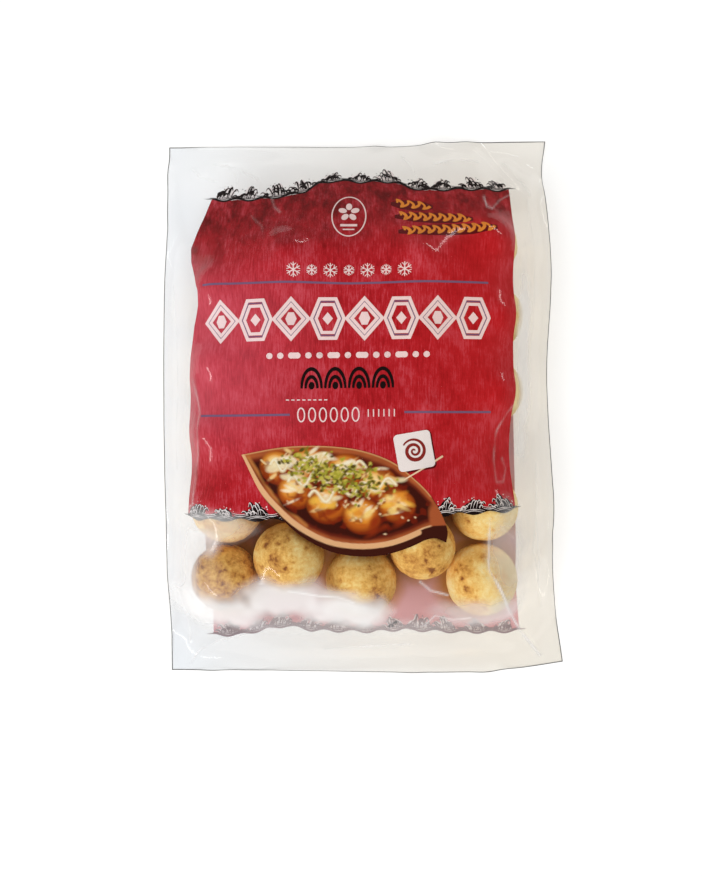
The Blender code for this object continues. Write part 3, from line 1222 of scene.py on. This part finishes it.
blossom_ring()
for wave in YELLOW_WAVES:
    yellow_wave(*wave)
for k in range(CRYSTALS):
    snow_crystal(np.array(CRYSTALS_FROM) + (k * CRYSTAL_PITCH, 0), 2.5 if k % 2 else 3.3)
for line, width in (
    (((-69.5, 55.6), (-4, 54), (58.9, 54.6)), 0.95),
    (((-72, -4.5), (-30, -4.2)), 1),
    (((20.5, -3.6), (60.4, -4.4)), 1),
):
    blue.stroke(line, width)
for k in range(FRIEZE_UNITS):
    middle = np.array(FRIEZE_FROM) + (k * FRIEZE_PITCH, 0)
    if k % 2:
        frieze_unit(middle, (7.7, 9.4), HEXAGON, RHOMBUS)
    else:
        frieze_unit(middle, (8.4, 9.6), RHOMBUS, HEXAGON)
beads_and_bars()
for k in range(SCALES):
    fish_scale(np.array(SCALES_FROM) + (k * SCALE_PITCH, 0))
# Fine dashes, rings and bars between the two short rules
for k in range(8):
    pale.stroke([(-31.6 + 2.4 * k, 2.3), (-30.2 + 2.4 * k, 2.3)], 0.55)
for k in range(6):
    pale.stroke(ellipse((-25 + 4.8 * k, -4.3), (1.5, 3), count=22), 0.6, closed=True)
for k in range(6):
    pale.stroke([(4.6 + 2.3 * k, -5.4), (4.6 + 2.3 * k, -2.1)], 0.5)


# The dish picture

DISH_TOP = ((-52.2, -22), (-38.1, -19.2), (-26.5, -18), (-12, -18.3), (2, -20.5), (15.1, -25.8),
            (24.9, -34), (31.5, -41.5), (36, -50), (38.2, -57), (37.4, -62.4))
DISH_RIM = ((-52.2, -22), (-43.8, -36.8), (-35.4, -46.4), (-29, -52.2), (-21.7, -57), (-13.3, -60.9),
            (-4.5, -62.6), (4, -62.9), (13, -61.8), (21, -59.2), (28, -56.2), (32, -55.2))
DISH_UNDER = ((-52.2, -22), (-44.2, -38), (-36, -48.2), (-29.4, -55), (-21.7, -60.6), (-13, -65),
              (-4.5, -67), (4, -67.5), (12, -66.6), (21, -63.8), (28.5, -60.6), (33, -60.2), (37.4, -62.4))
DISH_STEP = 0.42
DISH_COLUMNS = int(90.5 / DISH_STEP)
DISH_ROWS = int(46 / DISH_STEP)
# Middle and radius of each ball in the dish; middle and reach, across and along, of each cream patch
DISH_BALLS = ((-35.5, -27.5, 8), (-21, -27, 8.8), (-27.5, -38.5, 8), (-5.5, -30, 9), (-14, -44, 9.2),
              (8.5, -36, 8.6), (1, -49.5, 8.6), (16.5, -45.5, 8))
CREAM_PATCHES = ((-34, -25.5, 7, 3.4), (-30, -31, 5.5, 2.4), (-17, -22.5, 7, 2.2), (-3, -26.5, 6, 2.2),
                 (14, -33.5, 5, 2), (-14, -41, 4, 1.6))
RIBBONS = (((-39, -27), (-13, -24.5)), ((-31, -34.5), (3, -27.5)), ((-22, -41), (16, -34.5)))

WOOD_SHADE = (0.055, 0.010, 0.005)
WOOD = (0.40, 0.095, 0.028)
RIM_LIGHT = (0.78, 0.47, 0.25)
RIM_FRONT = (0.78, 0.44, 0.22)
RIM_BACK = (0.62, 0.30, 0.12)
UNDERSIDE = (0.050, 0.008, 0.004)
SPOUT = (0.42, 0.10, 0.032)
SAUCE_GLINT = (0.55, 0.20, 0.05)
SAUCE = (0.050, 0.006, 0.003)
SAUCE_EDGE = (0.15, 0.018, 0.007)
SAUCE_RED = (0.20, 0.014, 0.003)
SAUCE_DAUBS = ((1, 3.4, 71), (0.7, 1.5, 72))  # layers of noise
BALL_SHADOW = (0.045, 0.006, 0.003)
# A glazed ball, from its rim to its shine: offset, radii in its own radius, turn, colour, softness
BALL_TONES = (
    ((0, 0), (1.00, 0.93), 0, (0.22, 0.026, 0.004), 0.8),
    ((-0.5, 0.8), (0.88, 0.78), 0, (0.55, 0.13, 0.012), 2.6),
    ((-1.3, 2), (0.62, 0.50), 0, (0.86, 0.39, 0.06), 2.8),
    ((-1.9, 3), (0.32, 0.24), 10, (0.94, 0.68, 0.30), 2),
)
BURNT = ((0.30, 0.030, 0.005),)
FLAKES = ((0.93, 0.66, 0.28), (0.95, 0.82, 0.58))
AMBERS = ((0.93, 0.52, 0.07), (0.95, 0.70, 0.24), (0.80, 0.30, 0.03))
CREAMS = ((0.92, 0.78, 0.48), (0.95, 0.87, 0.66), (0.80, 0.50, 0.18))
GREENS = ((0.40, 0.37, 0.035), (0.58, 0.50, 0.08), (0.22, 0.19, 0.020), (0.10, 0.07, 0.010))
CRUMBS = ((0.85, 0.62, 0.38),)
RIBBON_SHADE = (0.80, 0.62, 0.34)
RIBBON_LIGHT = (0.93, 0.84, 0.62)
SHAVING = (0.86, 0.66, 0.34)
SHAVING_COUNT = 60
GREEN_COUNT = 330
CRUMB_COUNT = 26
# Dabs over each ball: how many, offset and spread in its radius, and what Picture.dab needs
BALL_DABS = (
    (4, (0.3, -0.3), 0.3, ((2, 4.2), (0.9, 1.9), (20, 70), BURNT, 1.6, 0.75)),
    (9, (-0.1, 0.2), 0.36, ((0.9, 2.8), (0.35, 0.9), (-40, 60), FLAKES, 0.7, 0.85)),
)


class Picture:
    """Plain painted shapes, held as one colour for each point of a fine grid."""

    def __init__(self, flat, ground):
        self.flat = flat
        self.colour = np.tile(np.array(ground, float), (len(flat), 1))

    def cover(self, share, colour):
        self.colour += share[:, None] * (np.array(colour) - self.colour)

    def spot(self, centre, radii, turn, colour, soft=0.4, share=1):
        u, v = turned(self.flat - centre, -turn).T
        inside = (1 - np.hypot(u / radii[0], v / radii[1])) * min(radii) / soft + 0.5
        self.cover(share * np.clip(inside, 0, 1), colour)

    def dab(self, rng, centre, length, width, turn, colours, soft=0.4, share=1):
        """A spot of one of the colours, its radii and turn drawn from their ranges."""
        radii = (rng.uniform(*length), rng.uniform(*width))
        turn = rng.uniform(*turn)
        colour = colours[rng.integers(len(colours))] if len(colours) > 1 else colours[0]
        self.spot(centre, radii, turn, colour, soft, share)

    def line(self, points, width, colour, soft=0.4, share=1):
        away = distance_to_line(self.flat, points)
        self.cover(share * np.clip((width / 2 - away) / soft + 0.5, 0, 1), colour)

    def between(self, top, bottom, inset, soft):
        """How far inside the two curves each point is, from 0 to 1, kept inset from both."""
        a, b = self.flat.T
        gap = np.minimum(edge(top, a) - b, b - edge(bottom, a))
        return np.clip((gap - inset) / soft + 0.5, 0, 1)

    def within(self, top, bottom, inset, colour, soft=0.5):
        self.cover(self.between(top, bottom, inset, soft), colour)


def paint_dish(picture):
    """The empty dish: its wood, its rim and the sauce in it."""
    grain = value_noise(picture.flat * (0.35, 1), 1.6, 51)[:, None]
    picture.within(DISH_TOP, DISH_RIM, 0, WOOD)
    picture.colour *= 1 + 0.16 * grain
    picture.line(through(DISH_RIM, np.linspace(0, 1, 24)), 2.5, RIM_LIGHT)
    picture.line(through(DISH_TOP, np.linspace(0, 0.8, 24)), 1.1, RIM_BACK)
    picture.within(DISH_TOP, DISH_RIM, 2.6, SAUCE_EDGE, soft=1.6)
    picture.within(DISH_TOP, DISH_RIM, 4.2, SAUCE, soft=1.4)
    picture.line([(-49, -23.4), (-38, -40), (-24, -53)], 1.6, SAUCE_GLINT, soft=1.2, share=0.8)
    picture.spot((35, -53.5), (4.2, 9), 18, SPOUT, soft=1.4)


def paint_balls(picture, rng):
    """Glazed balls, then the sauce's own reds over them and amber lights on those in front."""
    for *middle, r in DISH_BALLS:
        centre = np.array(middle)
        picture.spot(centre + (0.6, -1.4), (1.12 * r, 1.05 * r), 0, BALL_SHADOW, soft=1.6)
        for offset, radii, turn, colour, soft in BALL_TONES:
            picture.spot(centre + offset, np.multiply(radii, r), turn, colour, soft)
        for count, offset, spread, dab in BALL_DABS:
            for _ in range(count):
                at = centre + np.multiply(offset, r) + rng.normal(0, spread * r, 2)
                picture.dab(rng, at, *dab)
    daubs = layered_noise(picture.flat, SAUCE_DAUBS)
    inside = picture.between(DISH_TOP, DISH_RIM, 4.6, soft=2)
    picture.cover(inside * np.clip(1.8 * daubs - 0.35, 0, 0.65), SAUCE_RED)
    for *middle, r in DISH_BALLS[4:]:
        for _ in range(7):
            at = np.array(middle) + (-0.1 * r, 0.15 * r) + rng.normal(0, 0.26 * r, 2)
            picture.dab(rng, at, (0.16 * r, 0.36 * r), (0.10 * r, 0.24 * r), (-50, 50), AMBERS, 1.3, 0.8)


def paint_cream(picture, rng):
    """Patches and ribbons of cream."""
    for *middle, across, along in CREAM_PATCHES:
        for _ in range(7):
            at = np.array(middle) + rng.normal(0, 0.4, 2) * (across, along)
            cream = CREAMS[rng.integers(len(CREAMS))]
            radii = (rng.uniform(0.3, 0.6) * across, rng.uniform(0.3, 0.6) * along)
            picture.spot(at, radii, rng.uniform(-30, 30), cream, soft=0.9, share=0.8)
    for start, end in np.array(RIBBONS):
        phase = np.linspace(0, 7 * np.pi, 64)
        ribbon = start + (phase / phase[-1])[:, None] * (end - start)
        ribbon[:, 1] += 2.4 * np.sin(phase + rng.uniform(0, 6)) + value_noise(ribbon, 5, 61)
        picture.line(ribbon, 1.5, RIBBON_SHADE, share=0.75)
        picture.line(ribbon + (0, 0.25), 0.8, RIBBON_LIGHT)


def strewn(rng, start, run, spread):
    """A place scattered about a line."""
    return np.array(start) + rng.uniform(0, 1) * np.array(run) + rng.normal(0, spread)


def paint_garnish(picture, rng):
    """Curled shavings, green flakes and crumbs."""
    for _ in range(SHAVING_COUNT):
        at = strewn(rng, (-34, -25), (46, -15), (5, 4))
        turn = rng.uniform(0, np.pi)
        half = 0.5 * rng.uniform(1.5, 4.2) * np.array((math.cos(turn), math.sin(turn)))
        bow = rng.uniform(-0.8, 0.8) * np.array((-half[1], half[0]))
        shaving = [at - half, at + 0.4 * bow, at + half]
        picture.line(shaving, rng.uniform(0.5, 0.9), SHAVING, share=0.8)
    for _ in range(GREEN_COUNT):
        at = strewn(rng, (-28, -25), (34, -12), (5, 3.4))
        green = GREENS[rng.integers(len(GREENS))]
        picture.dab(rng, at, (0.5, 1.4), (0.35, 0.75), (0, 180), (green,))
    for _ in range(CRUMB_COUNT):
        at = strewn(rng, (-40, -30), (64, -24), (2.5, 4.5))
        picture.dab(rng, at, (0.3, 0.8), (0.25, 0.5), (0, 180), CRUMBS)


def dish_picture():
    """A leaf-shaped wooden dish of glazed balls, in plain fields and dabs of colour."""
    share = np.linspace(0, 1, DISH_COLUMNS)
    t = np.linspace(0, 1, DISH_ROWS)[:, None, None]
    flat = (through(DISH_UNDER, share) * (1 - t) + through(DISH_TOP, share) * t).reshape(-1, 2)
    picture = Picture(flat, WOOD_SHADE)
    rng = np.random.default_rng(23)
    paint_dish(picture)
    paint_balls(picture, rng)
    paint_cream(picture, rng)
    paint_garnish(picture, rng)
    picture.within(DISH_RIM, DISH_UNDER, -0.6, UNDERSIDE)
    picture.line(through(DISH_RIM, np.linspace(0, 0.93, 24)), 2.3, RIM_FRONT)
    points, _ = film.place(FRONT, flat, DISH_DEPTH)
    faces = grid_faces(DISH_ROWS, DISH_COLUMNS)
    piece = new_piece("dish_picture", points, faces, dish_material(), flat)
    colours = piece.data.color_attributes.new("ink", "FLOAT_COLOR", "POINT")
    opaque = np.column_stack([np.clip(picture.colour, 0, 1), np.ones(len(flat))])
    colours.data.foreach_set("color", opaque.ravel())


dish_picture()


# The badge by the dish

BADGE_MIDDLE = np.array((24.7, -20.9))
BADGE_TURN = 8.5  # degrees
SPIRAL_TURNS = 2.4
SPIRAL_GROWTH = 0.36
PICK = ((19.6, -33.6), (37.6, -23.6))


def on_badge(points):
    """Flat points from points in the badge's own frame."""
    return BADGE_MIDDLE + turned(points, BADGE_TURN)


def rounded_square(half, corner):
    outline = []
    for start, sx, sy in ((-90, 1, -1), (0, 1, 1), (90, -1, 1), (180, -1, -1)):
        for angle in np.linspace(start, start + 90, 6):
            outline.append(np.array((sx, sy)) * (half - corner) + corner * direction(angle))
    return np.array(outline)


badge.field(on_badge(rounded_square(8.3, 1.9)))
shadow.field(on_badge(rounded_square(8.5, 2.1) + (0.5, -0.6)))
swing = np.linspace(0.5, SPIRAL_TURNS * 2 * np.pi, 70)
arm = SPIRAL_GROWTH * swing
mark.stroke(on_badge(np.column_stack([arm * np.cos(swing), arm * np.sin(swing)])), (0.8, 1.3, 1.7, 1.3, 0.7))
pick.stroke(PICK, (0.6, 0.9))

foam_ink = ink_material("white_print", (0.88, 0.80, 0.79), 0.06)
dark_ink = ink_material("dark_print", (0.010, 0.004, 0.004), 0.3)
mark_ink = ink_material("mark_print", (0.26, 0.022, 0.018))
badge_ink = ink_material("badge_print", (0.90, 0.82, 0.81), 0.05)
pick_ink = ink_material("pick_print", (0.85, 0.62, 0.42))
pale_ink = ink_material("pale_print", (0.92, 0.70, 0.69), 0.12)
yellow_ink = ink_material("yellow_print", (0.82, 0.27, 0.035))
blue_ink = ink_material("grey_blue_print", (0.20, 0.11, 0.20))
shadow_ink = ink_material("shadow_print", (0.12, 0.004, 0.005))
mark.lay("badge_mark", FRONT, MARK_DEPTH, mark_ink, "colour_print")
badge.lay("badge_field", FRONT, BADGE_DEPTH, badge_ink, "white_print")
pick.lay("pick", FRONT, PICK_DEPTH, pick_ink, "colour_print")
foam.lay("foam_print", FRONT, FOAM_DEPTH, foam_ink, "white_print")
dark.lay("dark_print", FRONT, DARK_DEPTH, dark_ink, "dark_print")
white.lay("wave_ground", FRONT, WHITE_DEPTH, foam_ink, "white_print")
pale.lay("pale_print", FRONT, WHITE_DEPTH, pale_ink, "white_print")
yellow.lay("yellow_waves", FRONT, COLOUR_DEPTH, yellow_ink, "colour_print")
blue.lay("grey_blue_rules", FRONT, COLOUR_DEPTH, blue_ink, "colour_print")
shadow.lay("shadows", FRONT, SHADOW_DEPTH, shadow_ink, "colour_print")


# Takoyaki

# Balls that show, by (column, row): how brown each is, and its pits: how many, and towards which side
WINDOW_CRUSTS = {
    (0, 0): (0.27, 24, (0.3, 0.2)),
    (1, 0): (0.09, 24, (-0.3, 0.2)),
    (2, 0): (0.14, 20, (0.2, 0.2)),
    (3, 0): (0.18, 18, (0.3, -0.4)),
    (4, 0): (0, 32, (-0.5, 0.1)),
    (0, 1): (0, 12, (0, -0.5)),
    (4, 1): (0.10, 14, (-0.2, -0.6)),
    (4, 2): (-0.08, 10, (0.2, 0)),
    (4, 3): (-0.08, 12, (0.3, -0.2)),
}
PLAIN_CRUST = (0.06, 3, (0, 0))
SMALL_BALL = (0, 4)
SMALL_BALL_NUDGE = (2.6, 0, -1.5)  # sits back from the left edge
SMALL_BALL_LOSS = 2
WINDOW_INSET = 0.15  # how far a crust's mean surface lies inside its ball's full radius
PRINTED_INSET = 0.65  # more for the balls under print, to keep clear of its inks
BUMP_LIMIT = 0.05  # how far a lump may pass the full radius
WINDOW_LEVEL = 5  # subdivisions of a ball that shows
PRINTED_LEVEL = 4
PAINTED_LIGHT_FROM = 50  # balls beyond this get painted light, paler on their right and upper sides, towards the right seam
PAINTED_LIGHT_SIDE = 0.32


def takoyaki(name, centre, radius, seed, level, crust_kind, inset):
    """A ball with soft lumps, fine grain and pits darker than the rest, some of them gathered on one side."""
    browned, pits, side = crust_kind
    rng = np.random.default_rng(200 + seed)
    ball = bmesh.new()
    bmesh.ops.create_icosphere(ball, subdivisions=level, radius=1)
    unit = np.array([v.co[:] for v in ball.verts])
    faces = [[v.index for v in f.verts] for f in ball.faces]
    ball.free()
    shift = seed * 37
    near = unit * 10 + shift
    surface = unit * 17 + shift
    lumps = 0.34 * value_noise(near, 8, 41) + 0.22 * value_noise(surface, 5, 42)
    reach = radius - inset + lumps + 0.10 * value_noise(surface, 1.6, 43)
    toast_and_painted_light = browned + 0.20 * (value_noise(surface, 9, 44) + 0.5 * value_noise(surface, 4, 46))
    # painted light: paler on the right and upper sides
    if centre[0] > PAINTED_LIGHT_FROM:
        toast_and_painted_light -= PAINTED_LIGHT_SIDE * np.clip(unit[:, 0] + 0.5 * unit[:, 2], 0, 1)
    ragged = 1 + 0.35 * value_noise(surface, 1.2, 45)
    for _ in range(pits):
        way = np.array((*side, 1)) + rng.normal(0, 0.55, 3) * (1, 1, 0.3)
        way /= np.linalg.norm(way)
        size = rng.uniform(0.45, 1.2)
        away = lengths(unit - way) * radius / size * ragged
        reach -= rng.uniform(0.2, 0.5) * size * np.exp(-away**2)
        # each pit is darker in colour as well as deeper
        toast_and_painted_light += rng.uniform(0.10, 0.36) * np.exp(-(away**2) / 1.5)
    reach = np.minimum(reach, radius + BUMP_LIMIT)
    piece = new_piece(name, centre + unit * reach[:, None], faces, crust)
    give_share(piece, "toast_and_painted_light", toast_and_painted_light)


crust = crust_material()
for index, (centre, radius) in enumerate(zip(balls, ball_radii)):
    place = divmod(index, BALLS_ALONG)
    if place == SMALL_BALL:
        centre = centre + SMALL_BALL_NUDGE
        radius -= SMALL_BALL_LOSS
    shown = place in WINDOW_CRUSTS
    inset = WINDOW_INSET if shown and place[1] == 0 else PRINTED_INSET
    level = WINDOW_LEVEL if shown else PRINTED_LEVEL
    crust_kind = WINDOW_CRUSTS.get(place, PLAIN_CRUST)
    takoyaki(f"takoyaki_{index + 1:02d}", centre, radius, index, level, crust_kind, inset)


# Floor, light and camera

CAMERA_HEIGHT = 480
CAMERA_SHIFT = (-7.1, -15.9)
MARGIN_LEVEL = 6
VIEW_HEIGHT = 438  # what the picture's height takes in, at the level of the margin
SENSOR = 36
DOME_HORIZON = 0.34
DOME_ZENITH = 0.05
DOME_FAR_SIDE = 0.8
KEY_WAY = (-0.55, -0.83, 0)
FLOOR_HALF = 1.6  # metres
FLOOR_GLOW = 0.47
FLOOR_GREY = (0.60, 0.60, 0.60, 1)
FLOOR_GLOW_TINT = (1, 0.99, 0.97, 1)
DOME_TINT = (1, 0.985, 0.96, 1)
# Lamps in metres and watts: place, size, power, colour, and whether gloss shows the lamp. The broad
# soft lamps would hide the print if it did.
LAMPS = {
    "key": ((-1.05, -1.30, 1.30), (2, 1.2), 34, (0.96, 0.985, 1), False),
    "overhead": ((0.35, 0.45, 1.60), (1.6, 1.6), 15.5, (1, 0.99, 0.97), False),
    "left_strip": ((-1.15, -0.95, 0.95), (1.5, 0.10), 4.2, (1, 1, 1), True),
    "right_strip": ((0.75, 1.05, 0.90), (1, 0.08), 2, (1, 1, 1), True),
}


def make_floor():
    """A pale table, lit from within as a light box is."""
    mesh = bpy.data.meshes.new("floor")
    corners = [(x * FLOOR_HALF, y * FLOOR_HALF, 0) for x, y in ((-1, -1), (1, -1), (1, 1), (-1, 1))]
    mesh.from_pydata(corners, [], [(0, 1, 2, 3)])
    material, nodes = new_material("pale_floor")
    grey = nodes.add("ShaderNodeBsdfDiffuse", {"Color": FLOOR_GREY})
    glow = nodes.add("ShaderNodeEmission", {"Color": FLOOR_GLOW_TINT, "Strength": FLOOR_GLOW})
    nodes.surface(nodes.add("ShaderNodeAddShader", {0: grey, 1: glow}))
    mesh.materials.append(material)
    floor = bpy.data.objects.new("floor", mesh)
    bpy.context.scene.collection.objects.link(floor)


def make_lamp(name, place, size, power, colour, glints):
    light = bpy.data.lights.new(name, "AREA")
    light.shape = "RECTANGLE"
    light.size, light.size_y = size
    light.energy = power
    light.color = colour
    lamp = bpy.data.objects.new(name, light)
    lamp.location = Vector(place)
    lamp.rotation_euler = (-Vector(place)).to_track_quat("-Z", "Y").to_euler()
    lamp.visible_glossy = glints
    bpy.context.scene.collection.objects.link(lamp)


def make_world():
    """A soft dome: dim overhead, brighter towards the horizon on the side of the key light."""
    world = bpy.data.worlds.new("studio")
    nodes = Nodes(world)
    way = nodes.add("ShaderNodeTexCoord", {}, "Generated")
    height = nodes.part(way, "Z")
    low = nodes.span(height, 0.35, 0.93, DOME_HORIZON, DOME_ZENITH, "SMOOTHSTEP")
    towards = nodes.add("ShaderNodeVectorMath", {0: way, 1: KEY_WAY}, "Value", operation="DOT_PRODUCT")
    strength = nodes.math("MULTIPLY", low, nodes.span(towards, -1, 1, DOME_FAR_SIDE, 1))
    sky = {"Color": DOME_TINT, "Strength": strength}
    nodes.add("ShaderNodeOutputWorld", {"Surface": nodes.add("ShaderNodeBackground", sky)})
    bpy.context.scene.world = world


def make_camera():
    camera = bpy.data.cameras.new("camera")
    camera.sensor_fit = "VERTICAL"
    camera.sensor_height = SENSOR
    camera.lens = SENSOR * (CAMERA_HEIGHT - MARGIN_LEVEL) / VIEW_HEIGHT
    eye = bpy.data.objects.new("camera", camera)
    low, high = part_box(BAG)
    middle = (Vector(low) + Vector(high)) / 2
    eye.location = (middle.x + CAMERA_SHIFT[0] * MM, middle.y + CAMERA_SHIFT[1] * MM, CAMERA_HEIGHT * MM)
    bpy.context.scene.collection.objects.link(eye)
    bpy.context.scene.camera = eye
    bpy.context.scene.view_settings.view_transform = "Standard"


make_floor()
for name, lamp in LAMPS.items():
    make_lamp(name, *lamp)
make_world()
make_camera()
